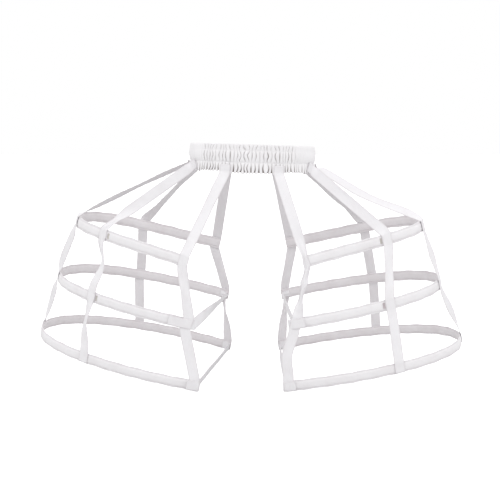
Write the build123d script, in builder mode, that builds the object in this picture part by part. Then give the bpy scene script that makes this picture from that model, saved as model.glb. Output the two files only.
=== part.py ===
from build123d import *
from math import asin, cos, pi, radians, sin
import os

# A pair of boned side hoops that hang from a gathered waistband.
# Millimetres. The origin is the centre of the waist, at half the height of the band.
# +X is the wearer's left, -Y is the front, +Z is up.

# Waistband: an oval casing, gathered over flat elastic
waist_width = 256.0
waist_depth = 166.0
band_height = 56.0
band_lining = 1.0
band_cover = 1.2
elastic_width = 24.0
elastic_thickness = 1.6
elastic_clearance = 0.3
gather_count = 92
gather_points = 2
header_height = 12.0
ruffle_height = 18.0
gather_depth = 1.5
header_flare = 0.6
channel_bulge = 0.9
ruffle_flare = 1.4
smooth_side_from = 0.62
smooth_side_blend = 0.16

# Cloth of the casings and tapes
seat_gap = 0.3
tape_width = 22.0
tape_thickness = 1.0
casing_width = 22.0
casing_cloth = 0.6
bone_width = 15.0
bone_thickness = 1.0
bone_clearance = 0.3
bone_inset = 4.0
slot_width = 5.0
slot_height = 13.0

# Hoops, by level: height of the corners, width of the open side, flare at the corners,
# and how full the side and the outer end are
levels = ("top", "middle", "bottom")
hoop_height = {"top": -204.0, "middle": -328.0, "bottom": -455.0}
hoop_opening = {"top": 308.0, "middle": 326.0, "bottom": 336.0}
hoop_flare = {"top": -12.0, "middle": 10.0, "bottom": 13.0}
side_fullness = {"top": 130.0, "middle": 157.0, "bottom": 182.0}
end_fullness = {"top": 133.0, "middle": 135.0, "bottom": 144.0}

# Each hoop as it hangs: distance of its open side from the centre, rise towards the
# outer end, turn seen from above, and reach of its outer end
hip_distance = {
    "right": {"top": 103.0, "middle": 93.0, "bottom": 82.0},
    "left": {"top": 91.0, "middle": 76.0, "bottom": 65.5},
}
hoop_rise = {
    "right": {"top": 14.2, "middle": 11.6, "bottom": 10.7},
    "left": {"top": 13.0, "middle": 10.7, "bottom": 9.1},
}
hoop_turn = {
    "right": {"top": -10.3, "middle": -13.0, "bottom": -10.2},
    "left": {"top": 3.9, "middle": 2.0, "bottom": 0.4},
}
hoop_reach = {
    "right": {"top": 289.0, "middle": 349.0, "bottom": 402.0},
    "left": {"top": 285.0, "middle": 339.0, "bottom": 396.0},
}
side_of_x = {"right": -1, "left": 1}
bow_samples = 120
bow_arcs = 9

# Tapes: place on the waistband in degrees from the front, and share of each hoop's length
band_angle = {"front_inner": 24.0, "front_outer": 70.0, "side": 92.0, "back_outer": 116.0, "back_inner": 156.0}
hoop_share = {
    "right": {
        "front_outer": {"top": 0.275, "middle": 0.254, "bottom": 0.255},
        "side": {"top": 0.42, "middle": 0.43, "bottom": 0.49},
        "back_outer": {"top": 0.744, "middle": 0.741, "bottom": 0.76},
    },
    "left": {
        "front_outer": {"top": 0.257, "middle": 0.238, "bottom": 0.243},
        "side": {"top": 0.42, "middle": 0.43, "bottom": 0.49},
        "back_outer": {"top": 0.74, "middle": 0.738, "bottom": 0.751},
    },
}
sewn_overlap = 15.0
widest_skew = 0.6
hem_inset = 0.6

# Twists of the hanging tapes: span (0 above the top hoop, 1 and 2 below it), how far
# down the span, and degrees
tape_twist = {
    ("right", "front_outer"): ((0, 0.14, -50.0), (0, 0.55, -30.0), (0, 0.78, 40.0)),
    ("right", "back_outer"): ((0, 0.3, -35.0),),
    ("right", "back_inner"): ((2, 0.16, 60.0),),
    ("left", "front_inner"): ((1, 0.6, 55.0),),
    ("left", "front_outer"): ((0, 0.14, 50.0), (0, 0.7, 25.0)),
    ("left", "back_outer"): ((0, 0.3, 35.0),),
    ("left", "back_inner"): ((2, 0.3, -35.0),),
}

# Ties between the two corners of a hoop
tie_levels = ("middle", "bottom")
tie_width = 20.0
tie_tab = 20.0
tie_inset = 2.0

casing_thickness = bone_thickness + 2 * bone_clearance + 2 * casing_cloth
band_channel = elastic_thickness + 2 * elastic_clearance
band_wall = band_lining + band_channel + band_cover
os.makedirs("parts", exist_ok=True)


def save(builder, label):
    builder.part.label = label
    export_step(builder.part, f"parts/{label}.step")


# The oval of the waist

def oval_point(angle, out, height, side=1):
    """A point at an angle from the front centre, that far outside the lining's inner face."""
    a = radians(angle)
    face = Vector(waist_width / 2 * sin(a), -waist_depth / 2 * cos(a))
    normal = Vector(sin(a) / waist_width, -cos(a) / waist_depth).normalized()
    place = face + normal * out
    return Vector(side * place.X, place.Y, height), Vector(side * normal.X, normal.Y, 0)


def gather_strength(angle):
    """1 across the front and back, and 0 where the sides are pulled smooth."""
    share = (abs(cos(radians(angle))) - smooth_side_from) / smooth_side_blend
    share = min(max(share, 0.0), 1.0)
    return share * share * (3 - 2 * share)


def gathered_outline(flare, gathered_sides):
    """Closed wavy outline of the cover, that far outside its wall."""
    points = []
    for index in range(gather_count * gather_points):
        angle = 360 * index / (gather_count * gather_points)
        wave = 0.5 + 0.5 * cos(2 * pi * index / gather_points)
        strength = 1.0 if gathered_sides else gather_strength(angle)
        place, _ = oval_point(angle, band_wall + flare + gather_depth * strength * wave, 0)
        points.append(place)
    return points


band_top = band_height / 2
band_bottom = -band_height / 2
channel_top = band_top - header_height
channel_bottom = band_bottom + ruffle_height
channel_middle = (channel_top + channel_bottom) / 2
band_rows = (
    (band_top, header_flare, False),
    (channel_top, 0.0, False),
    (channel_middle, channel_bulge, False),
    (channel_bottom, 0.0, False),
    (band_bottom, ruffle_flare, True),
)

# Waistband

channel_height = elastic_width + 2 * elastic_clearance
with BuildPart() as band_hollows:
    with BuildSketch(Plane.XY.offset(band_bottom)):
        Ellipse(waist_width / 2, waist_depth / 2)
    extrude(amount=band_height)
    with BuildSketch(Plane.XY.offset(channel_middle - channel_height / 2)):
        outer_reach = band_lining + band_channel
        Ellipse(waist_width / 2 + outer_reach, waist_depth / 2 + outer_reach)
        Ellipse(waist_width / 2 + band_lining, waist_depth / 2 + band_lining, mode=Mode.SUBTRACT)
    extrude(amount=channel_height)

with BuildPart() as waistband:
    for row in band_rows:
        with BuildSketch(Plane.XY.offset(row[0])):
            with BuildLine():
                Polyline(*gathered_outline(*row[1:]), close=True)
            make_face()
    loft(ruled=True)
    add(band_hollows.part, mode=Mode.SUBTRACT)
save(waistband, "waistband")

with BuildPart() as waist_elastic:
    with BuildSketch(Plane.XY.offset(channel_middle - elastic_width / 2)):
        inner_reach = band_lining + elastic_clearance
        outer_reach = inner_reach + elastic_thickness
        Ellipse(waist_width / 2 + outer_reach, waist_depth / 2 + outer_reach)
        Ellipse(waist_width / 2 + inner_reach, waist_depth / 2 + inner_reach, mode=Mode.SUBTRACT)
    extrude(amount=elastic_width)
save(waist_elastic, "waist_elastic")


# The bow of a hoop, drawn in its own plane: x outwards from the open side, y across it

def turned(x, y, z, angle):
    a = radians(angle)
    return Vector(x * cos(a) - y * sin(a), x * sin(a) + y * cos(a), z)


def hoop_plane(side, level):
    rise = radians(hoop_rise[side][level])
    turn = hoop_turn[side][level]
    x_side = side_of_x[side]
    origin = (x_side * hip_distance[side][level], 0, hoop_height[level])
    outwards = turned(x_side * cos(rise), 0, sin(rise), turn)
    upwards = turned(-x_side * sin(rise), 0, cos(rise), turn)
    return Plane(origin=origin, x_dir=outwards, z_dir=upwards)


def bow_curve(side, level):
    """Points (distance, place, direction) from the front corner round to the back corner."""
    flare = radians(hoop_flare[level])
    reach = hoop_reach[side][level]
    corner = Vector(0, -hoop_opening[level] / 2)
    handles = (
        corner,
        corner + Vector(cos(flare), -sin(flare)) * side_fullness[level],
        Vector(reach, -end_fullness[level]),
        Vector(reach, 0),
    )
    half = []
    for index in range(bow_samples + 1):
        t = index / bow_samples
        s = 1 - t
        place = handles[0] * s**3 + handles[1] * 3 * s * s * t + handles[2] * 3 * s * t * t + handles[3] * t**3
        slope = (handles[1] - handles[0]) * s * s + (handles[2] - handles[1]) * 2 * s * t
        slope = (slope + (handles[3] - handles[2]) * t * t).normalized()
        half.append((place, slope))
    other = [(Vector(p.X, -p.Y), Vector(-d.X, d.Y)) for p, d in reversed(half[:-1])]
    walk = []
    distance = 0.0
    for place, slope in half + other:
        if walk:
            distance += (place - walk[-1][1]).length
        walk.append((distance, place, slope))
    return walk


bows = {(side, level): bow_curve(side, level) for side in side_of_x for level in levels}


def bow_at(side, level, distance, out=0.0):
    """Place on the bow's plane, direction along it and direction outwards from it."""
    walk = bows[side, level]
    after = next((k for k in range(1, len(walk)) if walk[k][0] >= distance), len(walk) - 1)
    before = after - 1
    share = (distance - walk[before][0]) / (walk[after][0] - walk[before][0])
    place = walk[before][1] + (walk[after][1] - walk[before][1]) * share
    along = (walk[before][2] + (walk[after][2] - walk[before][2]) * share).normalized()
    outwards = Vector(along.Y, -along.X)
    flip = side_of_x[side]
    place = place + outwards * out
    return (
        Vector(place.X, flip * place.Y),
        Vector(along.X, flip * along.Y),
        Vector(outwards.X, flip * outwards.Y),
    )


def bow_length(side, level):
    return bows[side, level][-1][0]


def strip_outline(side, level, inner, outer, inset):
    """Closed outline of a flat strip on edge, between two distances from the bow."""
    start = inset
    stop = bow_length(side, level) - inset
    stations = [start + (stop - start) * k / (2 * bow_arcs) for k in range(2 * bow_arcs + 1)]
    edges = []
    for out in (outer, inner):
        places = [bow_at(side, level, distance, out)[0] for distance in stations]
        edges.append([ThreePointArc(*places[k : k + 3]) for k in range(0, 2 * bow_arcs, 2)])
    Line(edges[0][0] @ 0, edges[1][0] @ 0)
    Line(edges[0][-1] @ 1, edges[1][-1] @ 1)


# Hoops

for side in side_of_x:
    for level in levels:
        plane = hoop_plane(side, level)
        channel = bone_thickness / 2 + bone_clearance
        channel_width = bone_width + 2 * bone_clearance
        with BuildPart() as casing:
            with BuildSketch(plane.offset(-casing_width / 2)):
                with BuildLine():
                    strip_outline(side, level, -casing_thickness / 2, casing_thickness / 2, 0)
                make_face()
            extrude(amount=casing_width)
            with BuildSketch(plane.offset(-channel_width / 2)):
                with BuildLine():
                    strip_outline(side, level, -channel, channel, 0)
                make_face()
            extrude(amount=channel_width, mode=Mode.SUBTRACT)
            if level != "bottom":
                beside_tape = hoop_share[side]["front_outer"][level] * bow_length(side, level)
                beside_tape -= tape_width / 2 + slot_width / 2
                place, along, outwards = bow_at(side, level, beside_tape, casing_thickness / 2)
                slot_plane = Plane(
                    origin=plane.from_local_coords(place),
                    x_dir=plane.from_local_coords(place + along) - plane.from_local_coords(place),
                    z_dir=plane.from_local_coords(place + outwards) - plane.from_local_coords(place),
                )
                with BuildSketch(slot_plane):
                    Rectangle(slot_width, slot_height)
                extrude(amount=-casing_cloth - bone_clearance, mode=Mode.SUBTRACT)
        save(casing, f"{side}_{level}_casing")
        with BuildPart() as bone:
            with BuildSketch(plane.offset(-bone_width / 2)):
                with BuildLine():
                    strip_outline(side, level, -bone_thickness / 2, bone_thickness / 2, bone_inset)
                make_face()
            extrude(amount=bone_width)
        save(bone, f"{side}_{level}_bone")


# Hanging tapes: each follows stations of (a point on its inner face, the way it faces,
# the way its width lies, or None where it lies square to the tape)

def hoop_station(side, level, distance, height):
    plane = hoop_plane(side, level)
    place, along, outwards = bow_at(side, level, distance, casing_thickness / 2 + seat_gap)
    point = plane.from_local_coords(Vector(place.X, place.Y, height))
    across = plane.from_local_coords(Vector(place.X + along.X, place.Y + along.Y, height))
    facing = plane.from_local_coords(Vector(place.X + outwards.X, place.Y + outwards.Y, height))
    return point, facing - point, across - point


def band_station(side, name, height):
    crest = band_wall + ruffle_flare + gather_depth + seat_gap
    return (*oval_point(band_angle[name], crest, height, side_of_x[side]), None)


def crossing(side, level, name):
    if name == "front_inner":
        return tape_width / 2
    if name == "back_inner":
        return bow_length(side, level) - tape_width / 2
    return hoop_share[side][name][level] * bow_length(side, level)


def tape_stations(side, name):
    rows = [
        band_station(side, name, band_bottom + sewn_overlap),
        band_station(side, name, band_bottom - seat_gap),
    ]
    past_edge = casing_width / 2 + seat_gap
    for span, level in enumerate(levels):
        distance = crossing(side, level, name)
        above = hoop_station(side, level, distance, past_edge)
        last = level == levels[-1]
        below = hoop_station(side, level, distance, hem_inset - casing_width / 2 if last else -past_edge)
        for twist_span, share, degrees_turned in tape_twist.get((side, name), ()):
            if twist_span == span:
                upper = rows[-1]
                point = upper[0] + (above[0] - upper[0]) * share
                facing = (upper[1] * (1 - share) + above[1] * share).normalized()
                turning = Axis((0, 0, 0), above[0] - upper[0])
                rows.append((point, facing.rotate(turning, degrees_turned), None))
        rows += [above, below]
    return rows


def tape_section(before, station, after):
    """Plane and width of the tape's section at a station, between its neighbours."""
    point, facing, across = station
    arriving = (point - (before or station)[0]).normalized() if before else None
    leaving = ((after or station)[0] - point).normalized() if after else arriving
    arriving = arriving or leaving
    if across:
        square = across.cross(facing).normalized()
        skew = min(abs(arriving.dot(across)), abs(leaving.dot(across)), widest_skew)
        along = square if square.dot(leaving) > 0 else square * -1
        width = tape_width / cos(asin(skew))
        return Plane(origin=point + facing * (tape_thickness / 2), x_dir=facing.cross(along), z_dir=along), width
    along = (arriving + leaving).normalized()
    outwards = (facing - along * facing.dot(along)).normalized()
    centre = point + outwards * (tape_thickness / 2)
    return Plane(origin=centre, x_dir=outwards.cross(along), z_dir=along), tape_width


for side in side_of_x:
    for name in band_angle:
        stations = tape_stations(side, name)
        with BuildPart() as tape:
            for before, station, after in zip([None] + stations, stations, stations[1:] + [None]):
                plane, width = tape_section(before, station, after)
                with BuildSketch(plane):
                    Rectangle(width, tape_thickness)
            loft(ruled=True)
        save(tape, f"{side}_{name}_tape")

# Ties

for side in side_of_x:
    for level in tie_levels:
        inside = -casing_thickness / 2 - seat_gap
        length = bow_length(side, level)
        with BuildPart() as tie:
            with BuildSketch(hoop_plane(side, level).offset(-tie_width / 2)):
                with BuildLine():
                    ends = []
                    for out in (inside, inside - tape_thickness):
                        places = [
                            bow_at(side, level, tie_tab, out)[0],
                            bow_at(side, level, tie_inset + inside - out, out)[0],
                            bow_at(side, level, length - tie_inset - inside + out, out)[0],
                            bow_at(side, level, length - tie_tab, out)[0],
                        ]
                        ends.append(Polyline(*places))
                    Line(ends[0] @ 0, ends[1] @ 0)
                    Line(ends[0] @ 1, ends[1] @ 1)
                make_face()
            extrude(amount=tie_width)
        save(tie, f"{side}_{level}_tie")
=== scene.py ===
"""The looks of a pair of boned side hoops that hang from a gathered waistband.

Metres and degrees. The origin is the centre of the waist, +X the wearer's left, -Y the
front, +Z up.
"""

from math import cos, pi, radians, sin

import bpy
import numpy as np
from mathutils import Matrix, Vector


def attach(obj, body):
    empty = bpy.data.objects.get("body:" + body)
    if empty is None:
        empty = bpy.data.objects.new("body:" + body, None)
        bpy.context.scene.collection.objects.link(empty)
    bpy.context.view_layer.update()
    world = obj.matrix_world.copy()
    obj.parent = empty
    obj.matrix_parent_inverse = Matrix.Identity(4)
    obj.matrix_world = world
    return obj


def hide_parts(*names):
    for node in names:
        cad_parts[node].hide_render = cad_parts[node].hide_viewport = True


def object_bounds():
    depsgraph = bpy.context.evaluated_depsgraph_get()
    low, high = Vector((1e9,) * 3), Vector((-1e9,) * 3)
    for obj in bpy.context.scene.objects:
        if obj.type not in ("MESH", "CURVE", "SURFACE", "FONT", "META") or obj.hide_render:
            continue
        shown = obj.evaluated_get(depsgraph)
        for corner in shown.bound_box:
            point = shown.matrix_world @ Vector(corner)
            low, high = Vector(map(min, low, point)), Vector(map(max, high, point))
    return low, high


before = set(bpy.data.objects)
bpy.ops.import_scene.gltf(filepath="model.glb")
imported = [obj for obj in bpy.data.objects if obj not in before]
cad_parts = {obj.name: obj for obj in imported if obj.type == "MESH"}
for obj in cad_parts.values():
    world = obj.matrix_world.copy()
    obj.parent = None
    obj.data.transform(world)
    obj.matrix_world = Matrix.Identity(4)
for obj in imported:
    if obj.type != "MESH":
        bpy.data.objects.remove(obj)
cad_low, cad_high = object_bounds()
MM = 0.001

# Sizes shared with the part's source

waist_width = 256 * MM
waist_depth = 166 * MM
band_height = 56 * MM
band_lining = 1.0 * MM
band_wall = 4.4 * MM
header_height = 12 * MM
ruffle_height = 20 * MM
tape_width = 22 * MM
tape_thickness = 1.0 * MM
casing_width = {"top": 24.5 * MM, "middle": 23.5 * MM, "bottom": 22.5 * MM}
casing_thickness = 2.8 * MM
bone_width = 15 * MM
slot_width = 5 * MM
slot_height = 13 * MM
sewn_overlap = 15 * MM

levels = ("top", "middle", "bottom")
side_of_x = {"right": -1, "left": 1}
hoop_height = {"top": -204 * MM, "middle": -328 * MM, "bottom": -455 * MM}
hoop_opening = {"top": 308 * MM, "middle": 326 * MM, "bottom": 336 * MM}
hoop_rise = {
    "right": {"top": 14.2, "middle": 11.6, "bottom": 10.7},
    "left": {"top": 13.0, "middle": 10.7, "bottom": 9.1},
}
hoop_flare = {"top": -12.0, "middle": 10.0, "bottom": 13.0}
side_fullness = {"top": 130 * MM, "middle": 157 * MM, "bottom": 182 * MM}
end_fullness = {"top": 133 * MM, "middle": 135 * MM, "bottom": 144 * MM}
hip_distance = {
    "right": {"top": 103 * MM, "middle": 93 * MM, "bottom": 82 * MM},
    "left": {"top": 91 * MM, "middle": 76 * MM, "bottom": 65.5 * MM},
}
hoop_turn = {
    "right": {"top": -10.3, "middle": -13.0, "bottom": -10.2},
    "left": {"top": 3.9, "middle": 2.0, "bottom": 0.4},
}
hoop_reach = {
    "right": {"top": 289 * MM, "middle": 349 * MM, "bottom": 402 * MM},
    "left": {"top": 285 * MM, "middle": 339 * MM, "bottom": 396 * MM},
}
band_angle = {
    "front_inner": 24.0,
    "front_outer": 70.0,
    "side": 92.0,
    "back_outer": 116.0,
    "back_inner": 156.0,
}
hoop_share = {
    "right": {
        "front_outer": {"top": 0.275, "middle": 0.254, "bottom": 0.255},
        "side": {"top": 0.42, "middle": 0.43, "bottom": 0.49},
        "back_outer": {"top": 0.744, "middle": 0.741, "bottom": 0.76},
    },
    "left": {
        "front_outer": {"top": 0.257, "middle": 0.238, "bottom": 0.243},
        "side": {"top": 0.42, "middle": 0.43, "bottom": 0.49},
        "back_outer": {"top": 0.74, "middle": 0.738, "bottom": 0.751},
    },
}
tie_levels = ("middle", "bottom")

# How the band lies. It hangs a little higher on the wearer's right, and its gathers fade
# into the smooth sides at an angle from the middle that differs by the sign of x.

band_roll = 1.8
smooth_side_from = {-1: 47.0, 1: 37.0}
smooth_side_blend = 9.0
side_puff = 2.4 * MM
cover_cloth = 1.0 * MM
cover_rows = 46
gathered_length = 1.28

# The rim, where the cover turns over to the lining: how much of the cover's depth each of
# its rings keeps, and how far it rises

rim = ((0.75, 0.7 * MM), (0.35, 0.8 * MM), (0.05, 0.2 * MM))
rim_wave = 0.6 * MM
rim_shade = 0.15

# The lining ripples a little and stops above the ruffle's edge, and the ruffle's own back
# goes on from the tuck behind it

lining_rows = 12
lining_ripple = 0.35 * MM
lining_start = band_height / 2 - 1 * MM
lining_end = 3 * MM - band_height / 2
lining_shade = 0.3
tuck_depth = 2 * MM
tuck_shade = 0.9
hem_height = 1 * MM
ruffle_back_shade = 0.85

# The folds of the gathers: how deep in each row, and how far they wander, slant and lean

fold_count = 104
columns_per_fold = 9
fold_size = 0.82
fold_size_change = 0.18
fold_size_limits = (0.45, 1.15)
header_depth = 2.2 * MM
channel_depth = 3.0 * MM
ruffle_depth = 5.4 * MM
fold_wander = 0.4
fold_slant = 0.5
fold_zigzag = 0.7
fold_lean = 1.0
fold_roundness = 0.7
slant_offset = 0.2
zigzag_rate = 15
lean_steepness = 2.5
lean_blend = 6 * MM
header_lean_from = -0.15
ruffle_lean_share = 0.5

# What is left at the smooth sides of the folds, of the ruffle's depth and of its gaps' painted
# shade

smooth_folds = 0.08
smooth_ruffle = 0.62
smooth_gap = 0.55

# The rows of stitching that part header, channel and ruffle, and the swell between them

header_blend = 3.4 * MM
ruffle_blend = 3.0 * MM
header_pinch = 1.3 * MM
ruffle_pinch = 1.2 * MM
pinch_strength = 0.35
channel_belly = 0.9 * MM
# Painted shade in the creases along the rows of stitching
stitch_shade = 0.06
header_stitch = 1.4 * MM
ruffle_stitch = 1.0 * MM

# The ruffle flares from a share of its depth to its free edge, which rises in the gaps and
# hangs lower within an angle of the middle

ruffle_start = 0.4
ruffle_flare = 0.6 * MM
ruffle_scallop = 3.2 * MM
scallop_height = 5 * MM
ruffle_droop = 3.5 * MM
droop_from = 19.0
droop_blend = 8.0

# Shade in the slits between the folds, and in the gaps between the ruffle's petals, which
# open towards its edge: both are deepest in a valley and fade as the ridge rises

slit_depth = 1.6
slit_fade = 3.7
header_slit = 0.65
slit_ends = 0.6
gap_shade = 1.9
gap_depth = 1.4
gap_fade = 3.3
gap_opening = 1.3
gap_growth = 0.8
uneven_shade = 0.75
uneven_shade_change = 0.45
uneven_shade_limits = (0.2, 1.3)
darkest = 1.5

# Uneven gathers: for each kind its seed, how many waves round the waist are added up,
# and the slowest of them

gather_noise = {
    "wander": (4, 26, 5),
    "slant": (5, 40, 9),
    "zigzag": (6, 30, 12),
    "size": (7, 50, 12),
    "shadow": (9, 60, 30),
    "header lean": (11, 10, 4),
    "ruffle lean": (12, 10, 4),
}

# How the casings lie on their bones, and how their cloth puckers: the length and size of
# each wave

bow_steps = 121
casing_row = 4.0 * MM
casing_seed = {"right": 35, "left": 28}
level_seed = {"top": 3, "middle": 6, "bottom": 6}
bone_swell = 0.9 * MM
seat = 0.6 * MM + bone_swell
seam_line = bone_width / 2 + 1.1 * MM
edge_line = 1.3 * MM
casing_puckers = ((9 * MM, 0.336 * MM), (14 * MM, 0.294 * MM), (31 * MM, 0.378 * MM))
pucker_lean = 0.4
edge_wobble = 0.5 * MM
edge_wobble_length = 47 * MM
slot_brink = 0.3 * MM
slot_reach = 0.1 * MM
slot_floor = 0.55 * MM
slot_shade = 1.3
inner_shade = 0.34

# How a tape lies between the places where it is sewn: its curl, lean and sway, with the
# length of each slow wave, and the small wave along its edges

tape_row = 2.4 * MM
tape_points = 13
bend_softness = 2.6 * MM
free_reach = 40 * MM
tape_curl, curl_length = 1.1 * MM, 190 * MM
tape_lean, lean_length = 0.7 * MM, 120 * MM
tape_sway, sway_length = 1.2 * MM, 260 * MM
edge_lift, edge_lift_length = 0.25 * MM, 17 * MM
pleat_depth = 5.0 * MM
rim_thinning = 0.35
tape_rim_shade = 0.35
tape_back_shade = 0.7 * inner_shade
sewn_gap = 0.3 * MM
past_casing = 0.6 * MM

# Thread

stitch_spacing = 3.4 * MM
stitch_length = 2.3 * MM
stitch_radius = 0.22 * MM
seam_step = 3 * MM
seam_ends = 2 * MM
seam_stitch_out = 0.72 * MM
edge_stitch_out = 0.95 * MM
tack_inset = 3.0 * MM
tack_spread = 0.85
tack_points = 12
tack_height = tape_thickness + 0.15 * MM

# Turns of the hanging tapes: the span (0 above the top hoop, 1 and 2 below it), how far
# down the span, and degrees from its easy lie, or the name of the way that it faces

tape_twist = {
    ("right", "front_outer"): (
        (0, 0.04, "front"),
        (0, 0.68, "front"),
        (0, 0.86, 30.0),
        (1, 0.3, 38.0),
        (1, 0.8, 14.0),
        (2, 0.35, 34.0),
    ),
    ("right", "back_outer"): ((0, 0.15, "up"), (0, 0.7, "up"), (1, 0.45, 14.0)),
    ("right", "front_inner"): ((1, 0.4, -22.0),),
    ("right", "back_inner"): ((1, 0.6, 16.0), (2, 0.16, 60.0)),
    ("right", "side"): (
        (0, 0.1, "under"),
        (0, 0.85, "under"),
        (1, 0.15, -26.0),
        (1, 0.85, -26.0),
        (2, 0.15, -26.0),
        (2, 0.85, -26.0),
    ),
    ("left", "front_inner"): ((0, 0.75, 34.0), (1, 0.62, 60.0), (2, 0.5, 12.0)),
    ("left", "front_outer"): ((0, 0.04, "front"), (0, 0.85, "front"), (1, 0.5, -12.0)),
    ("left", "back_outer"): ((0, 0.15, "up"), (0, 0.7, "up"), (1, 0.5, -10.0)),
    ("left", "back_inner"): ((1, 0.5, -18.0), (2, 0.3, -35.0)),
    ("left", "side"): ((0, 0.1, "over"), (0, 0.85, "over"), (1, 0.5, 16.0), (2, 0.5, 24.0)),
}
facing_named = {
    "front": np.array([0.0, -1.0, 0.0]),
    "up": np.array([0.0, 0.0, 1.0]),
    "under": np.array([0.0, 0.34, 0.94]),
    "over": np.array([0.0, -0.64, 0.77]),
}

# Where a tape is drawn together: the span, how far down it, and what is left of its width

tape_pinch = {
    ("right", "front_outer"): ((0, 0.93, 0.7), (1, 0.15, 0.62), (2, 0.2, 0.75)),
    ("right", "back_inner"): ((2, 0.1, 0.45),),
    ("right", "front_inner"): ((1, 0.5, 0.85),),
    ("left", "front_inner"): ((1, -0.25, 0.5), (1, 0.1, 0.5), (1, 0.5, 0.5)),
    ("left", "back_inner"): ((2, 0.1, 0.6),),
}
pinch_reach = 26 * MM

# How far a tape lies off its place on a hoop, above and below the casing, in millimetres

tape_shift = {
    ("right", "front_inner"): {"top": (-4, -4), "middle": (-13, -7), "bottom": (-4, -4)},
    ("left", "front_inner"): {"top": (-6, -6), "middle": (0, -17), "bottom": (-3, -3)},
}

# How far the middle of a span hangs off its straight line: x, y and z in millimetres

tape_sag = {
    ("right", "front_outer"): {1: (13, -3, 0), 2: (-5, 0, 0)},
    ("left", "front_inner"): {2: (-8, 0, 0)},
    ("left", "side"): {0: (0, 0, -8)},
    ("left", "back_outer"): {0: (0, 0, -3)},
}

# How a tape leaves the band: its slant in degrees round the waist, how far up the ruffle it
# is sewn, and how far above the ruffle's edge it is held

band_slant = {"front_outer": -9.0, "back_outer": 6.0}
band_overlap = {"front_outer": 15 * MM, "side": 20 * MM, "back_outer": 9 * MM}
band_hold = {"front_outer": 7 * MM, "side": 13 * MM}
free_hold = -0.5 * MM

# Ties: how far each laps over the front of its corner, how far its loop clears the tape
# there, how far past the casing's end it leaves for the back corner, its turns on the way
# and where they are, and where it is drawn together

tie_width = 20 * MM
tie_seed = 46
tie_slack = 0.25
tie_gap = 0.5 * MM
tie_bend = 0.5 * MM
tie_end = 2 * MM
tie_tail = 20 * MM
tie_wrap = {
    ("right", "middle"): 40 * MM,
    ("right", "bottom"): 22 * MM,
    ("left", "middle"): 24 * MM,
    ("left", "bottom"): 22 * MM,
}
easy_clear = 2.6 * MM
tie_clear = {("right", "middle"): 5.6 * MM}
easy_leave = -1 * MM
tie_leave = {("right", "middle"): 11 * MM}
tie_turn = {
    ("right", "middle"): (34.0, -12.0),
    ("right", "bottom"): (-7.0, -9.0),
    ("left", "middle"): (12.0, 12.0),
    ("left", "bottom"): (20.0, 20.0),
}
tie_turn_at = (0.2, 0.7)
tie_pinch = {"middle": ((0.95, 0.5),), "bottom": ()}


# Shader and geometry node trees, written as expressions


class Signal:
    """An output socket that does arithmetic with others and with numbers."""

    def __init__(self, tree, socket):
        self.tree = tree
        self.socket = socket

    def math(self, operation, *others, swap=False):
        values = (*others, self) if swap else (self, *others)
        return self.tree.node("ShaderNodeMath", {"operation": operation}, *values)

    def __add__(self, other):
        return self.math("ADD", other)

    def __radd__(self, other):
        return self.math("ADD", other, swap=True)

    def __sub__(self, other):
        return self.math("SUBTRACT", other)

    def __rsub__(self, other):
        return self.math("SUBTRACT", other, swap=True)

    def __mul__(self, other):
        return self.math("MULTIPLY", other)

    def __rmul__(self, other):
        return self.math("MULTIPLY", other, swap=True)

    def sine(self):
        return self.math("SINE")

    def absolute(self):
        return self.math("ABSOLUTE")

    def greater(self, other):
        return self.math("GREATER_THAN", other)


class Tree:
    """Builds a node tree: each node from its type, its settings and its inputs."""

    def __init__(self, tree):
        self.tree = tree

    def node(self, kind, settings=None, *values, **named):
        made = self.tree.nodes.new(kind)
        for key, value in (settings or {}).items():
            setattr(made, key, value)
        inputs = dict(enumerate(values))
        inputs.update((key.replace("_", " "), value) for key, value in named.items())
        for key, value in inputs.items():
            if isinstance(value, Signal):
                self.tree.links.new(value.socket, made.inputs[key])
            elif value is not None:
                made.inputs[key].default_value = value
        return Signal(self, made.outputs[0]) if len(made.outputs) else made

    def output(self, name, signal):
        """Another output of the node that made a signal."""
        return Signal(self, signal.socket.node.outputs[name])


def new_material(name):
    material = bpy.data.materials.new(name)
    material.use_nodes = True
    material.node_tree.nodes.clear()
    return material, Tree(material.node_tree)


def blend(tree, amount, first, second):
    """A colour between two, by an amount from 0 to 1."""
    mix = tree.node("ShaderNodeMix", {"data_type": "RGBA"}, Factor=amount).socket.node
    mix.inputs[6].default_value = (*first, 1)
    mix.inputs[7].default_value = (*second, 1)
    return Signal(tree, mix.outputs[2])


def finish(tree, colour, roughness, bump):
    """The surface of a material, and its shader node for the other dials."""
    surface = tree.node(
        "ShaderNodeBsdfPrincipled", None, Base_Color=colour, Roughness=roughness, Normal=bump
    )
    tree.node("ShaderNodeOutputMaterial", None, surface)
    return surface.socket.node


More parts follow.
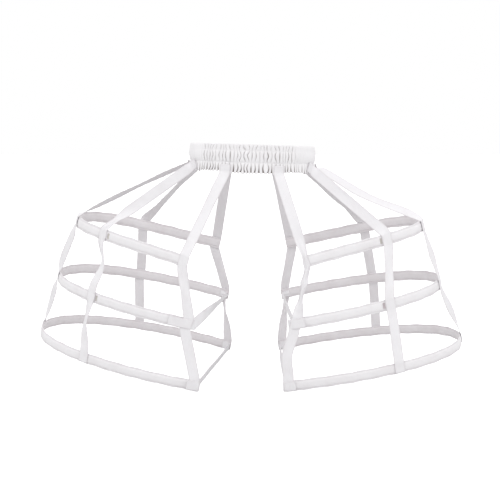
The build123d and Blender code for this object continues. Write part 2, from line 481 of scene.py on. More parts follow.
def cotton(name, lit, shaded, thread, relief, slub):
    """Woven cotton: threads by the UV map, in metres, and soft mottling of uneven yarn.

    It goes from its lit to its shaded colour by the mesh's shade attribute.
    """
    material, tree = new_material(name)
    uv = tree.node("ShaderNodeUVMap", {"uv_map": "UVMap"})
    across = tree.node("ShaderNodeSeparateXYZ", None, uv)
    along = tree.output("Y", across)
    warp = (across * (2 * pi / thread)).sine().absolute()
    weft = (along * (2 * pi / thread)).sine().absolute()
    rows = (along * (pi / thread)).sine().greater(0.0)
    columns = (across * (pi / thread)).sine().greater(0.0)
    over = (rows - columns).absolute()
    weave = over * warp + (1 - over) * weft
    place = tree.output("Object", tree.node("ShaderNodeTexCoord"))
    mottle = tree.node("ShaderNodeTexNoise", None, place, Scale=28.0, Detail=3.0, Roughness=0.6)
    fuzz = tree.node("ShaderNodeTexNoise", None, place, Scale=900.0, Detail=2.0, Roughness=0.5)
    depth = tree.output("Fac", tree.node("ShaderNodeAttribute", {"attribute_name": "shade"}))
    # Painted shade: the mesh's shade attribute darkens the colour, and the hollows of the weave a
    # little
    tone = depth * 0.85 + (mottle - 0.42) * (0.9 * slub) + (0.5 - weave) * 0.06
    tone = tone.math("MAXIMUM", 0.0).math("MINIMUM", 1.0)
    colour = blend(tree, tone, lit, shaded)
    height = weave * 0.6 + fuzz * 0.4 * slub
    bump = tree.node("ShaderNodeBump", None, Strength=relief, Distance=0.3 * MM, Height=height)
    shader = finish(tree, colour, 0.86 + fuzz * 0.1, bump)
    shader.inputs["Sheen Weight"].default_value = 0.12
    shader.inputs["Sheen Roughness"].default_value = 0.5
    shader.inputs["Specular IOR Level"].default_value = 0.2
    return material


def boning_plastic():
    """Smooth pale boning strip with faint marks."""
    material, tree = new_material("boning_plastic")
    place = tree.output("Object", tree.node("ShaderNodeTexCoord"))
    marks = tree.node("ShaderNodeTexNoise", None, place, Scale=260.0, Detail=2.0)
    colour = blend(tree, marks * 0.5, (0.62, 0.60, 0.56), (0.50, 0.48, 0.45))
    bump = tree.node("ShaderNodeBump", None, Strength=0.15, Distance=0.2 * MM, Height=marks)
    finish(tree, colour, 0.36 + marks * 0.16, bump)
    return material


def elastic_band():
    """Flat woven elastic: ribs along its length."""
    material, tree = new_material("woven_elastic")
    rib = 1.6 * MM
    place = tree.output("Object", tree.node("ShaderNodeTexCoord"))
    height = tree.output("Z", tree.node("ShaderNodeSeparateXYZ", None, place))
    ribs = (height * (pi / rib)).sine().absolute()
    fuzz = tree.node("ShaderNodeTexNoise", None, place, Scale=700.0, Detail=2.0)
    # The grooves between the ribs are painted darker, as shade
    colour = blend(tree, ribs * 0.7, (0.62, 0.60, 0.58), (0.80, 0.79, 0.78))
    relief = ribs + fuzz * 0.3
    bump = tree.node("ShaderNodeBump", None, Strength=0.4, Distance=0.4 * MM, Height=relief)
    finish(tree, colour, 0.8 + fuzz * 0.1, bump)
    return material


# Colours: cool white where the cotton faces out, warmer grey for painted shade inside the folds

white_cotton = (0.885, 0.872, 0.893)
casing_white = (0.89, 0.875, 0.893)
band_white = (0.92, 0.907, 0.922)
thread_white = (0.80, 0.785, 0.80)
shaded_cotton = (0.64, 0.57, 0.59)
shaded_band = (0.21, 0.175, 0.165)
shaded_thread = (0.6, 0.58, 0.58)

tape_cotton = cotton(
    "cotton_tape", white_cotton, shaded_cotton, thread=0.9 * MM, relief=0.35, slub=0.5
)
casing_cotton = cotton(
    "cotton_casing", casing_white, shaded_cotton, thread=0.6 * MM, relief=0.25, slub=0.6
)
band_cotton = cotton(
    "gathered_cotton", band_white, shaded_band, thread=0.55 * MM, relief=0.22, slub=0.3
)
thread_cotton = cotton(
    "sewing_thread", thread_white, shaded_thread, thread=0.4 * MM, relief=0.1, slub=0.3
)
boning = boning_plastic()
elastic = elastic_band()


# Meshes


def cloth_mesh(name, rings, widths, lengths, shade, material, loop=False):
    """A piece from rings of points, with UVs in metres and how far each point is in shade."""
    rows, points, _ = rings.shape
    quads = []
    corners = []
    step = np.arange(points)
    following = (step + 1) % points
    for row in range(rows if loop else rows - 1):
        near = row * points
        far = ((row + 1) % rows) * points
        quad = (near + step, near + following, far + following, far + step)
        quads.append(np.stack(quad, axis=1))
        corners.append((row, row + 1))
    faces = [tuple(quad) for quad in np.concatenate(quads)]
    if not loop:
        faces.append(tuple(reversed(range(points))))
        faces.append(tuple((rows - 1) * points + k for k in range(points)))
    mesh = bpy.data.meshes.new(name)
    mesh.from_pydata([tuple(p) for p in rings.reshape(-1, 3)], [], faces)

    v_row = np.append(lengths, 2 * lengths[-1] - lengths[-2]) if loop else lengths
    u_point = np.append(widths, widths[0])
    flat = []
    for near, far in corners:
        v_near = np.full(points, v_row[near])
        v_far = np.full(points, v_row[far])
        u_v = (u_point[:-1], v_near, u_point[1:], v_near, u_point[1:], v_far, u_point[:-1], v_far)
        flat.append(np.stack(u_v, axis=1).reshape(-1, 2))
    if not loop:
        cap = np.stack([widths, np.zeros(points)], axis=1)
        flat += [cap, cap]
    uv = mesh.uv_layers.new(name="UVMap")
    uv.data.foreach_set("uv", np.concatenate(flat).astype(np.float32).ravel())

    shade = np.broadcast_to(shade, (rows, points)).astype(np.float32)
    mesh.attributes.new("shade", "FLOAT", "POINT").data.foreach_set("value", shade.ravel())
    mesh.materials.append(material)
    mesh.shade_smooth()
    return placed(name, mesh)


def placed(name, data):
    """An object in the scene, at the origin."""
    made = bpy.data.objects.new(name, data)
    bpy.context.scene.collection.objects.link(made)
    return made


def unit(vectors):
    return vectors / np.maximum(np.linalg.norm(vectors, axis=-1, keepdims=True), 1e-12)


def smooth(share):
    """A soft step from 0 to 1."""
    share = np.clip(share, 0, 1)
    return share * share * (3 - 2 * share)


def part_way(value, start, end):
    """How far a value is on its way from start to end, 0 to 1."""
    return np.clip((value - start) / (end - start), 0, 1)


def mixed(first, second, share):
    """The value that share of the way from the first to the second."""
    return first + (second - first) * share


# The waist oval


def rolled(points):
    """The band and what is sewn to it, turned about the front-to-back line."""
    a = radians(band_roll)
    x = points[..., 0] * cos(a) + points[..., 2] * sin(a)
    z = points[..., 2] * cos(a) - points[..., 0] * sin(a)
    return np.stack([x, points[..., 1], z], axis=-1)


def oval(angle, out, height):
    """Points outside the lining's inner face, and the way the oval faces there."""
    a = np.radians(angle)
    flat = 0 * a
    normal = unit(np.stack([np.sin(a) / waist_width, -np.cos(a) / waist_depth, flat], axis=-1))
    face = [waist_width / 2 * np.sin(a), -waist_depth / 2 * np.cos(a), flat + height]
    return np.stack(face, axis=-1) + normal * np.asarray(out)[..., None], normal


def ripple(angle, kind):
    """Smooth noise round the waist, about -1 to 1."""
    seed, waves, slowest = gather_noise[kind]
    noise = np.random.default_rng(seed)
    a = np.radians(angle)
    total = 0 * a
    for k in range(slowest, slowest + waves):
        total = total + noise.normal() * np.cos(k * a + noise.uniform(0, 2 * pi)) / np.sqrt(waves)
    return total


def from_middle(angle):
    """Degrees from the middle of the front or of the back, whichever is nearer."""
    around = np.abs((angle + 180) % 360 - 180)
    return np.minimum(around, 180 - around)


def gather_strength(angle):
    """1 where the elastic gathers the cloth, 0 where the sides are pulled smooth."""
    on_right = (angle + 180) % 360 < 180
    start = np.where(on_right, smooth_side_from[-1], smooth_side_from[1])
    return 1 - smooth((from_middle(angle) - start) / smooth_side_blend)


# The gathered band

band_top = band_height / 2
band_bottom = -band_height / 2
frill_line = band_top - header_height
ruffle_line = band_bottom + ruffle_height


def folds(angle, height):
    """Round-topped folds of uneven size, and their even ridges, from 0 in the valleys to 1."""
    drift = height / band_height
    in_header = np.clip((height - frill_line) / header_height, header_lean_from, 1)
    in_ruffle = smooth((ruffle_line - height) / lean_blend + 0.5)
    header_lean = np.tanh(lean_steepness * ripple(angle, "header lean"))
    ruffle_lean = np.tanh(lean_steepness * ripple(angle, "ruffle lean"))
    phase = fold_count * np.radians(angle) / 2
    phase = phase + fold_wander * ripple(angle, "wander")
    phase = phase + fold_slant * (drift + slant_offset) * ripple(angle, "slant")
    phase = phase + fold_zigzag * np.sin(zigzag_rate * drift) * ripple(angle, "zigzag")
    phase = phase + fold_lean * in_header * header_lean
    phase = phase + fold_lean * ruffle_lean_share * in_ruffle * ruffle_lean
    ridge = np.abs(np.sin(phase))
    size = np.clip(fold_size + fold_size_change * ripple(angle, "size"), *fold_size_limits)
    return size * ridge**fold_roundness, ridge


def row_shares(height):
    """How much a height belongs to the header, to the channel and to the ruffle."""
    header = smooth((height - frill_line) / header_blend + 0.5)
    ruffle = smooth((ruffle_line - height) / ruffle_blend + 0.5)
    return header, (1 - header) * (1 - ruffle), ruffle


def stitched(height, header_width, ruffle_width):
    """1 on the two rows of stitching, fading over those widths."""
    header = np.exp(-(((height - frill_line) / header_width) ** 2))
    return header + np.exp(-(((height - ruffle_line) / ruffle_width) ** 2))


def cover_swell(height, fold, strength):
    """How far the gathered cover stands out from the band's wall."""
    header, channel, ruffle = row_shares(height)
    drop = part_way(height, ruffle_line, band_bottom)
    pinch = np.clip(stitched(height, header_pinch, ruffle_pinch), 0, 1)
    gathers = (header * header_depth + channel * channel_depth) * mixed(smooth_folds, 1, strength)
    flare = ruffle * ruffle_depth * mixed(ruffle_start, 1, drop)
    depth = (gathers + flare * mixed(smooth_ruffle, 1, strength)) * (1 - pinch_strength * pinch)
    puff = side_puff * np.sin(pi * part_way(height, ruffle_line, band_top)) ** 0.5
    belly = channel_belly * np.sin(pi * part_way(height, ruffle_line, frill_line))
    return depth * fold + puff * (1 - strength) + channel * belly + ruffle_flare * drop


def cover_painted_shade(angle, height, ridge, strength):
    """Painted shade on the cover: in the slits between the folds, and in the open gaps of the
    ruffle.
    """
    header, channel, ruffle = row_shares(height)
    drop = part_way(height, ruffle_line, band_bottom)
    in_header = np.sin(pi * part_way(height, frill_line, band_top)) ** slit_ends
    in_channel = np.sin(pi * part_way(height, ruffle_line, frill_line)) ** slit_ends
    uneven = uneven_shade + uneven_shade_change * ripple(angle, "shadow")
    slit = np.clip(slit_depth - slit_fade * ridge, 0, 1) * np.clip(uneven, *uneven_shade_limits)
    slit = slit * (header_slit * header * in_header + channel * in_channel)
    gap = np.clip(gap_depth - (gap_fade - gap_opening * drop) * ridge, 0, 1)
    gap = gap * gap_shade * ruffle * drop**gap_growth
    dark = slit * mixed(smooth_folds, 1, strength) + gap * mixed(smooth_gap, 1, strength)
    return np.clip(dark, 0, darkest)


def make_waistband():
    """The gathered cover, folded over its lining, with a frill above and a ruffle below."""
    columns = fold_count * columns_per_fold
    angle = np.arange(columns) * 360 / columns
    strength = gather_strength(angle)
    droop = ruffle_droop * (1 - smooth((from_middle(angle) - droop_from) / droop_blend))
    profile = []
    shades = []

    def lay(height, out, shade, lift=0.0):
        """Adds a ring round the band, so far out from the lining's inner face."""
        place, _ = oval(angle, out + 0 * angle, height)
        place[:, 2] += lift
        profile.append(place)
        shades.append(shade + 0 * angle)

    def cover(height):
        """How far out the cover is, how much painted shade it has, and how far its free edge is
        lifted.
        """
        fold, ridge = folds(angle, height)
        dark = cover_painted_shade(angle, height, ridge, strength)
        edge = smooth(part_way(height, band_bottom + scallop_height, band_bottom))
        scallop = edge * ruffle_scallop * np.minimum(dark, 1)
        hang = droop * part_way(height, ruffle_line, band_bottom)
        return band_wall + cover_swell(height, fold, strength), dark, scallop - hang

    for height in np.linspace(band_bottom, band_top, cover_rows):
        out, dark, lift = cover(height)
        # Painted shade in the creases along the rows of stitching
        thread = stitch_shade * stitched(height, header_stitch, ruffle_stitch) * strength
        lay(height, out, dark + thread, lift)
    top_out, _, _ = cover(band_top)
    wave = rim_wave * (folds(angle, band_top)[0] - 0.6) * strength
    for share, rise in rim:
        lay(band_top + rise, top_out * share, rim_shade, wave * share)
    for height in np.linspace(lining_start, lining_end, lining_rows):
        lay(height, lining_ripple * strength * folds(angle, height)[0], lining_shade)
    tuck = ruffle_line - tuck_depth
    for height in (lining_end, tuck):
        lay(height, band_lining, tuck_shade)
    middle = (ruffle_line + band_bottom) / 2
    for height in (tuck, middle, band_bottom + hem_height, band_bottom):
        out, _, lift = cover(height)
        lay(height, out - cover_cloth, ruffle_back_shade, lift)

    rings = rolled(np.stack(profile, axis=1))
    widths = np.append(0, np.cumsum(np.linalg.norm(np.diff(rings[0], axis=0), axis=1)))
    lengths = np.linspace(0, gathered_length, columns)
    shade = np.stack(shades, axis=1)
    return cloth_mesh(
        "gathered_waistband", rings, widths, lengths, shade, band_cotton, loop=True
    )


# Hoops


class Bow:
    """One hoop's line, from its front corner round to its back corner."""

    def __init__(self, side, level):
        flare = radians(hoop_flare[level])
        reach = hoop_reach[side][level]
        corner = np.array([0, -hoop_opening[level] / 2])
        handles = (
            corner,
            corner + np.array([cos(flare), -sin(flare)]) * side_fullness[level],
            np.array([reach, -end_fullness[level]]),
            np.array([reach, 0]),
        )
        t = np.linspace(0, 1, bow_steps)[:, None]
        s = 1 - t
        shares = (s**3, 3 * s * s * t, 3 * s * t * t, t**3)
        half = sum(handle * share for handle, share in zip(handles, shares))
        slope = (handles[1] - handles[0]) * s * s + (handles[2] - handles[1]) * 2 * s * t
        slope = unit(slope + (handles[3] - handles[2]) * t * t)
        self.places = np.concatenate([half, half[-2::-1] * (1, -1)])
        self.slopes = np.concatenate([slope, slope[-2::-1] * (-1, 1)])
        steps = np.linalg.norm(np.diff(self.places, axis=0), axis=1)
        self.distances = np.append(0, np.cumsum(steps))
        self.length = self.distances[-1]
        rise = radians(hoop_rise[side][level])
        turn = radians(hoop_turn[side][level])
        x_side = side_of_x[side]
        turning = np.array([[cos(turn), -sin(turn), 0], [sin(turn), cos(turn), 0], [0, 0, 1]])
        self.origin = np.array([x_side * hip_distance[side][level], 0, hoop_height[level]])
        self.x_dir = turning @ np.array([x_side * cos(rise), 0, sin(rise)])
        self.z_dir = turning @ np.array([-x_side * sin(rise), 0, cos(rise)])
        self.y_dir = np.cross(self.z_dir, self.x_dir) * x_side

    def at(self, distance, out=0.0, height=0.0):
        """Points off the line, and the directions along, out of and up its strip."""
        distance = np.asarray(distance, float)
        x, y, dx, dy = (
            np.interp(distance, self.distances, column)
            for column in (*self.places.T, *self.slopes.T)
        )
        along = unit(np.stack([dx, dy], axis=-1))
        outwards = np.stack([along[..., 1], -along[..., 0]], axis=-1)
        flat = np.stack([x, y], axis=-1) + outwards * np.asarray(out)[..., None]
        place = self.origin + self.to_space(flat) + self.z_dir * np.asarray(height)[..., None]
        return place, self.to_space(along), self.to_space(outwards), self.z_dir

    def to_space(self, flat):
        return flat[..., :1] * self.x_dir + flat[..., 1:2] * self.y_dir


bows = {(side, level): Bow(side, level) for side in side_of_x for level in levels}


def slot_ends(side, level):
    """Where the slot beside the front outer tape starts and ends along a casing."""
    if level == "bottom":
        return None
    tape = crossing(side, level, "front_outer")
    middle = tape - tape_width / 2 - slot_width / 2
    return middle - slot_width / 2, middle + slot_width / 2


def casing_profile(level):
    """Points round a casing's section: height, out of the hoop's line, and shade."""
    half = casing_width[level] / 2
    full = casing_thickness / 2 + bone_swell
    quarter = np.array(
        (
            (half, 0.0, 0.15),
            (half - 0.4 * MM, 0.62 * MM, 0.06),
            (half - edge_line, 0.80 * MM, 0.0),
            (seam_line + 0.7 * MM, 0.66 * MM, 0.15),
            (seam_line, 0.55 * MM, 0.27),
            (seam_line - 0.7 * MM, 0.95 * MM, 0.15),
            (seam_line - 1.9 * MM, full - 0.5 * MM, 0.03),
            (seam_line - 3.6 * MM, full - 0.15 * MM, 0.0),
            (0.0, full, 0.0),
        )
    )
    outer = np.concatenate([quarter, quarter[-2::-1] * (-1, 1, 1)])
    return np.concatenate([outer, outer[-2:0:-1] * (1, -1, 1)])


def make_casing(side, level):
    """A flat tube of doubled cloth, puckered along its seams and closed over the bone's ends."""
    bow = bows[side, level]
    distance = np.linspace(0, bow.length, int(bow.length / casing_row))
    slot = slot_ends(side, level)
    if slot:
        brink = (slot[0] - slot_brink, slot[1] + slot_brink)
        clear = (distance < brink[0]) | (distance > brink[1])
        distance = np.sort(np.concatenate([distance[clear], brink, slot]))
    rows = len(distance)
    profile = casing_profile(level)
    edge = np.abs(profile[:, 0]) / (casing_width[level] / 2)
    noise = np.random.default_rng(casing_seed[side] + level_seed[level])
    pucker = 0.0
    for wavelength, size in casing_puckers:
        shift, _ = noise.uniform(0, 2 * pi, 2)
        lean = noise.uniform(-pucker_lean, pucker_lean) / wavelength
        turns = 2 * pi * distance[:, None] / wavelength + lean * profile[:, 0] + shift
        pucker = pucker + size * np.sin(turns) * edge
    wobble = np.sin(2 * pi * distance / edge_wobble_length + noise.uniform(0, 6))
    height = profile[:, 0] + edge_wobble * wobble[:, None] * edge**2
    out = profile[:, 1] + pucker
    shade = profile[:, 2] + np.where(profile[:, 1] < 0, inner_shade, 0.0)
    shade = np.repeat(shade[None], rows, axis=0)
    if slot:
        along_slot = (distance > slot[0] - slot_reach) & (distance < slot[1] + slot_reach)
        across_slot = (np.abs(profile[:, 0]) < slot_height / 2) & (profile[:, 1] > 0)
        opened = along_slot[:, None] & across_slot
        out = np.where(opened, slot_floor, out)
        shade = np.where(opened, slot_shade, shade)
    rings, _, _, _ = bow.at(np.repeat(distance[:, None], len(profile), axis=1), out, height)
    widths = np.append(0, np.cumsum(np.linalg.norm(np.diff(profile[:, :2], axis=0), axis=1)))
    if side_of_x[side] < 0:
        rings = rings[:, ::-1]
        shade = shade[:, ::-1]
    name = f"{side}_{level}_hoop_casing"
    return cloth_mesh(name, rings, widths, distance, shade, casing_cotton)


# Tapes


def crossing(side, level, name):
    """How far along a hoop the middle of a tape crosses it."""
    bow = bows[side, level]
    if name == "front_inner":
        return tape_width / 2
    if name == "back_inner":
        return bow.length - tape_width / 2
    return hoop_share[side][name][level] * bow.length


def turned(direction, axis, turn):
    """A direction turned about an axis, in degrees."""
    a = radians(turn)
    across = np.cross(axis, direction)
    return direction * cos(a) + across * sin(a) + axis * (axis @ direction) * (1 - cos(a))


def tape_route(side, name):
    """Where a tape's inner face goes: points, the way it faces at each, which of them are
    sewn, where it is drawn together, and which of its spans sag.
    """
    which = side, name
    x_side = side_of_x[side]
    angle = x_side * band_angle[name]
    slant = x_side * band_slant.get(name, 0.0)
    flare = ruffle_depth * mixed(smooth_ruffle, 1, gather_strength(np.array(angle)))
    crest = np.array(band_wall + flare + sewn_gap)
    points = []
    facing = []
    for above_edge, lean in (
        (band_overlap.get(name, sewn_overlap), slant),
        (band_hold.get(name, free_hold), 0.0),
    ):
        place, normal = oval(np.array(angle + lean), crest, band_bottom + above_edge)
        points.append(rolled(place))
        facing.append(rolled(normal))
    held = [1.0, 1.0]
    pinches = []
    sags = []
    for span, level in enumerate(levels):
        bow = bows[side, level]
        distance = crossing(side, level, name)
        shift = np.array(tape_shift.get(which, {}).get(level, (0, 0))) * MM
        upper = casing_width[level] / 2 + past_casing
        lower = past_casing - casing_width[level] / 2 if level == levels[-1] else -upper
        out = casing_thickness / 2 + seat
        above, _, outwards, _ = bow.at(distance + shift[0], out, upper)
        below, _, _, _ = bow.at(distance + shift[1], out, lower)
        start = points[-1]
        begin = facing[-1]
        first = len(points) - 1
        for pinch_span, share, factor in tape_pinch.get(which, ()):
            if pinch_span == span:
                pinches.append((mixed(start, above, share), factor))
        for twist_span, share, turn in tape_twist.get(which, ()):
            if twist_span == span:
                points.append(mixed(start, above, share))
                if turn in facing_named:
                    facing.append(facing_named[turn])
                else:
                    easy = unit(mixed(begin, outwards, share))
                    facing.append(turned(easy, unit(above - start), turn))
                held.append(0.0)
        if span in tape_sag.get(which, {}):
            sags.append((first, len(points), np.array(tape_sag[which][span]) * MM))
        points += [above, below]
        facing += [outwards, outwards]
        held += [1.0, 1.0]
    return np.array(points), np.array(facing), np.array(held), pinches, sags


def softened(values, spacing, softness):
    """A row of points or directions, rounded where it turns."""
    reach = int(3 * softness / spacing) + 1
    kernel = np.exp(-0.5 * (np.arange(-reach, reach + 1) * spacing / softness) ** 2)
    kernel /= kernel.sum()
    before = 2 * values[0] - values[reach:0:-1]
    after = 2 * values[-1] - values[-2 : -reach - 2 : -1]
    padded = np.concatenate([before, values, after])
    return np.stack([np.convolve(column, kernel, mode="valid") for column in padded.T], axis=1)


def make_tape(name, points, facing, held, width, seed, pinches=(), sags=(), slack=1.0):
    """A woven tape along a route, eased round its bends, with its edges lifting a little."""
    lengths = np.append(0, np.cumsum(np.linalg.norm(np.diff(points, axis=0), axis=1)))
    spacing = tape_row / 2
    fine = np.arange(0, lengths[-1], spacing)
    line = np.stack([np.interp(fine, lengths, column) for column in points.T], axis=1)
    face = np.stack([np.interp(fine, lengths, column) for column in facing.T], axis=1)
    for first, last, offset in sags:
        share = part_way(fine, lengths[first], lengths[last])
        line = line + np.sin(pi * share)[:, None] ** 2 * offset
    line = softened(line, spacing, bend_softness)[::2]
    face = unit(softened(face, spacing, 2 * bend_softness)[::2])
    fine = fine[::2]
    along = unit(np.gradient(line, axis=0))
    face = unit(face - along * (face * along).sum(axis=1, keepdims=True))
    across = np.cross(along, face)

    noise = np.random.default_rng(seed)

    def wave(wavelength):
        """A wave along the tape, from a start of its own."""
        return np.sin(2 * pi * fine / wavelength + noise.uniform(0, 6))[:, None]

    nearest_sewn = np.min(np.abs(fine[:, None] - lengths[held > 0.5]), axis=1)
    free = slack * smooth(nearest_sewn / free_reach)[:, None]
    narrow = np.ones(len(fine))
    for spot, factor in pinches:
        near = np.linalg.norm(line - spot, axis=1)
        narrow = np.minimum(narrow, 1 - (1 - factor) * np.exp(-((near / pinch_reach) ** 2)))
    narrow = narrow[:, None]
    places = np.linspace(-1, 1, tape_points)
    at_rim = np.abs(places) ** 8
    lift = free * (0.6 + 0.5 * wave(curl_length)) * tape_curl * (places**2 - 0.3)
    lift = lift + free * tape_lean * wave(lean_length) * places
    lift = lift + free * tape_sway * wave(sway_length)
    lift = lift + edge_lift * wave(edge_lift_length) * np.abs(places) ** 3
    lift = lift + pleat_depth * (1 - narrow) * np.cos(1.5 * pi * places)
    thick = tape_thickness * (1 - rim_thinning * at_rim)
    centre = (line + face * tape_thickness / 2)[:, None]
    spread = centre + across[:, None] * (places * narrow * width / 2)[..., None]
    front = spread + face[:, None] * (lift + thick / 2)[..., None]
    back = spread + face[:, None] * (lift - thick / 2)[..., None]
    rings = np.concatenate([front, back[:, ::-1]], axis=1)
    widths = np.concatenate([places, places[::-1] + 2.2]) * width / 2
    shade = np.concatenate([tape_rim_shade * at_rim, tape_back_shade + 0 * places])
    piece = cloth_mesh(name, rings[:, ::-1], widths[::-1], fine, shade[::-1], tape_cotton)
    return piece, line, face, across, lengths[held > 0.5]


def tack_lines(line, face, across, sewn):
    """Lines of tacking across a tape, just beyond each place where it is sewn."""
    places = np.linspace(-tack_spread, tack_spread, tack_points)[:, None] * tape_width / 2
    tacks = []
    for index, distance in enumerate(sewn):
        inwards = tack_inset if index % 2 == 0 else -tack_inset
        row = min(max(int(round((distance + inwards) / tape_row)), 1), len(line) - 2)
        tacks.append(line[row] + face[row] * tack_height + across[row] * places)
    return tacks


def tie_route(side, level):
    """A tie: over the front corner of its hoop, round the end, and back to the other corner."""
    which = side, level
    bow = bows[which]
    inside = -casing_thickness / 2 - seat
    outside = casing_thickness / 2 + seat + tape_thickness + tie_gap
    corner, along, outwards, _ = bow.at(0.0)
    lap, _, lap_out, _ = bow.at(tie_wrap[which], outside)
    over, _, _, _ = bow.at(tie_bend, outside)
    overhang = -np.mean(tape_shift[side, "front_inner"][level]) * MM
    loop = corner - along * (overhang + tie_clear.get(which, easy_clear))
    start = corner + outwards * inside - along * tie_leave.get(which, easy_leave)
    end, _, _, _ = bow.at(bow.length - tie_end, inside)
    tail, _, tail_out, _ = bow.at(bow.length - tie_tail, inside)
    end_out = bow.at(bow.length)[2]

    inner = -bow.x_dir
    sideways = np.cross(unit(end - start), inner) * side_of_x[side]
    turns = [radians(turn) for turn in tie_turn[which]]
    near, far = (inner * cos(a) + sideways * sin(a) for a in turns)
    middle = [mixed(start, end, share) for share in tie_turn_at]
    points = [lap, over, loop, start, *middle, end, tail]
    facing = [lap_out, outwards, -along, near, near, far, unit(inner - end_out), -tail_out]
    held = [1.0, 1.0, 1.0, 1.0, 0.0, 0.0, 1.0, 1.0]
    pinches = [(mixed(start, end, share), factor) for share, factor in tie_pinch[level]]
    return np.array(points), np.array(facing), np.array(held), pinches


# Stitches


def stitch_tree():
    """Geometry nodes: stitches laid end to end along every line of a wire mesh."""
    group = bpy.data.node_groups.new("running_stitch", "GeometryNodeTree")
    sockets = group.interface
    sockets.new_socket("Lines", in_out="INPUT", socket_type="NodeSocketGeometry")
    sizes = {"Spacing": stitch_spacing, "Length": stitch_length, "Radius": stitch_radius}
    for label, value in sizes.items():
        socket = sockets.new_socket(label, in_out="INPUT", socket_type="NodeSocketFloat")
        socket.default_value = value
    sockets.new_socket("Thread", in_out="INPUT", socket_type="NodeSocketMaterial")
    sockets.new_socket("Stitches", in_out="OUTPUT", socket_type="NodeSocketGeometry")
    tree = Tree(group)
    lines = tree.node("NodeGroupInput")
    spacing, length, radius, thread = (tree.output(label, lines) for label in (*sizes, "Thread"))
    curve = tree.node("GeometryNodeMeshToCurve", None, lines)
    even = tree.node("GeometryNodeResampleCurve", {"mode": "LENGTH"}, Curve=curve, Length=spacing)
    tangent = tree.node("GeometryNodeInputTangent")
    turn = tree.node("FunctionNodeAlignRotationToVector", {"axis": "Z"}, Vector=tangent)
    bead = tree.node("GeometryNodeMeshUVSphere", None, Segments=6, Rings=4, Radius=1.0)
    size = tree.node("ShaderNodeCombineXYZ", None, radius, radius, length * 0.5)
    shaped = tree.node("GeometryNodeTransform", None, Geometry=bead, Scale=size)
    laid = tree.node(
        "GeometryNodeInstanceOnPoints", None, Points=even, Instance=shaped, Rotation=turn
    )
    real = tree.node("GeometryNodeRealizeInstances", None, laid)
    done = tree.node("GeometryNodeSetMaterial", None, Geometry=real, Material=thread)
    tree.node("NodeGroupOutput", None, done)
    return group


running_stitch = stitch_tree()


def make_stitches(name, lines):
    """One mesh with the stitches along these lines of points."""
    points = []
    edges = []
    for line in lines:
        start = len(points)
        points += [tuple(p) for p in line]
        edges += [(start + k, start + k + 1) for k in range(len(line) - 1)]
    wire = bpy.data.meshes.new(f"{name}_lines")
    wire.from_pydata(points, edges, [])
    holder = placed(f"{name}_lines", wire)
    modifier = holder.modifiers.new("stitches", "NODES")
    modifier.node_group = running_stitch
    for item in running_stitch.interface.items_tree:
        if item.name == "Thread" and item.in_out == "INPUT":
            modifier[item.identifier] = thread_cotton
    graph = bpy.context.evaluated_depsgraph_get()
    mesh = bpy.data.meshes.new_from_object(holder.evaluated_get(graph))
    bpy.data.objects.remove(holder)
    mesh.shade_smooth()
    if not mesh.uv_layers:
        mesh.uv_layers.new(name="UVMap")
    mesh.uv_layers[0].name = "UVMap"
    return placed(name, mesh)


def seam_lines(side, level):
    """Four seams beside the bone and four along the edges, two of each on each face."""
    bow = bows[side, level]
    rows = np.arange(seam_ends, bow.length - seam_ends, seam_step)
    near_edge = casing_width[level] / 2 - edge_line
    seams = ((seam_stitch_out, seam_line), (edge_stitch_out, near_edge))
    return [
        bow.at(rows, face * out, edge * height)[0]
        for out, height in seams
        for face in (-1, 1)
        for edge in (-1, 1)
    ]


def refinish(node, material):
    """Gives a solid of the frame a material of its own."""
    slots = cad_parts[node].data.materials
    slots.clear()
    slots.append(material)


# Making the pieces

band = make_waistband()
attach(band, "root")
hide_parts("waistband")

for side, level in bows:
    casing = make_casing(side, level)
    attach(casing, "root")
    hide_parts(f"{side}_{level}_casing")
    bone = f"{side}_{level}_bone"
    stitches = make_stitches(f"{side}_{level}_hoop_stitches", seam_lines(side, level))
    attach(stitches, "root")
    refinish(bone, boning)

refinish("waist_elastic", elastic)

tape_number = 0
for side in side_of_x:
    for name in band_angle:
        tape_number += 1
        points, facing, held, pinches, sags = tape_route(side, name)
        tape, *lie = make_tape(
            f"{side}_{name}_hanging_tape",
            points,
            facing,
            held,
            tape_width,
            tape_number,
            pinches,
            sags,
        )
        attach(tape, "root")
        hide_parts(f"{side}_{name}_tape")
        stitches = make_stitches(f"{side}_{name}_tacking", tack_lines(*lie))
        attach(stitches, "root")

for side in side_of_x:
    for level in tie_levels:
        points, facing, held, pinches = tie_route(side, level)
        tie, *_ = make_tape(
            f"{side}_{level}_inner_tie",
            points,
            facing,
            held,
            tie_width,
            tie_seed,
            pinches,
            slack=tie_slack,
        )
        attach(tie, "root")
        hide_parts(f"{side}_{level}_tie")


# Floor, lights and camera


floor_white = (0.66, 0.66, 0.66, 1)
floor_glow = 0.78
floor_reach = 30.0
floor_height = cad_low.z - 0.5 * MM


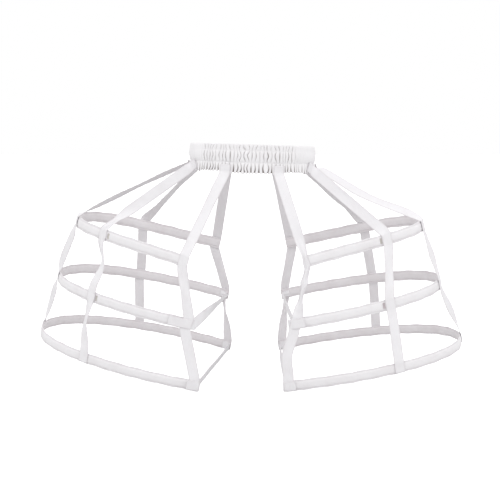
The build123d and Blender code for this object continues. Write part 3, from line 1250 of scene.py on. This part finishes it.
def floor_material():
    """White floor that keeps a soft shadow, and shows white to the camera."""
    material, tree = new_material("studio_floor")
    ray = tree.node("ShaderNodeLightPath")
    seen = ray + tree.output("Is Glossy Ray", ray) + tree.output("Is Transmission Ray", ray)
    place = tree.output("Object", tree.node("ShaderNodeTexCoord"))
    grain = tree.node("ShaderNodeTexNoise", None, place, Scale=40.0, Detail=2.0)
    rough = 0.4 + grain * 0.1
    base = tree.node("ShaderNodeBsdfDiffuse", None, Color=floor_white, Roughness=rough)
    strength = seen.math("MINIMUM", 1.0) * floor_glow
    glow = tree.node("ShaderNodeEmission", None, Color=(1, 1, 1, 1), Strength=strength)
    surface = tree.node("ShaderNodeAddShader", None, base, glow)
    tree.node("ShaderNodeOutputMaterial", None, surface)
    return material


floor_mesh = bpy.data.meshes.new("studio_floor")
floor_corners = [
    (x * floor_reach, y * floor_reach, floor_height)
    for x, y in ((-1, -1), (1, -1), (1, 1), (-1, 1))
]
floor_mesh.from_pydata(floor_corners, [], [(0, 1, 2, 3)])
floor_mesh.materials.append(floor_material())
placed("studio_floor", floor_mesh)

world = bpy.data.worlds.new("studio")
world.use_nodes = True
world.node_tree.nodes.clear()
sky = Tree(world.node_tree)
daylight = sky.node("ShaderNodeBackground", None, (1, 1, 1, 1), 1.0)
sky.node("ShaderNodeOutputWorld", None, daylight)
bpy.context.scene.world = world


def softbox(name, place, aim, size, power):
    """A round soft light, aimed at a point."""
    data = bpy.data.lights.new(name, "AREA")
    data.shape = "DISK"
    data.size = size
    data.energy = power
    lamp = placed(name, data)
    lamp.location = place
    lamp.rotation_mode = "QUATERNION"
    lamp.rotation_quaternion = (Vector(aim) - Vector(place)).to_track_quat("-Z", "Y")


cage_middle = (0, 0, -0.22)
softbox("front_softbox", (-0.9, -2.2, 2.3), cage_middle, size=1.8, power=15)
softbox("fill_softbox", (2.4, -1.6, 0.6), cage_middle, size=1.8, power=6)

# The camera stands where it sees the cage as the photo shows it

lens = 59.4
film_width = 36
camera_place = (-4.8 * MM, -1.784, 0.034)
look_down = 7.458
camera_data = bpy.data.cameras.new("camera")
camera_data.lens = lens
camera_data.sensor_width = film_width
camera = placed("camera", camera_data)
camera.location = camera_place
camera.rotation_euler = (radians(90 - look_down), 0, 0)
bpy.context.scene.camera = camera
bpy.context.scene.view_settings.view_transform = "Standard"
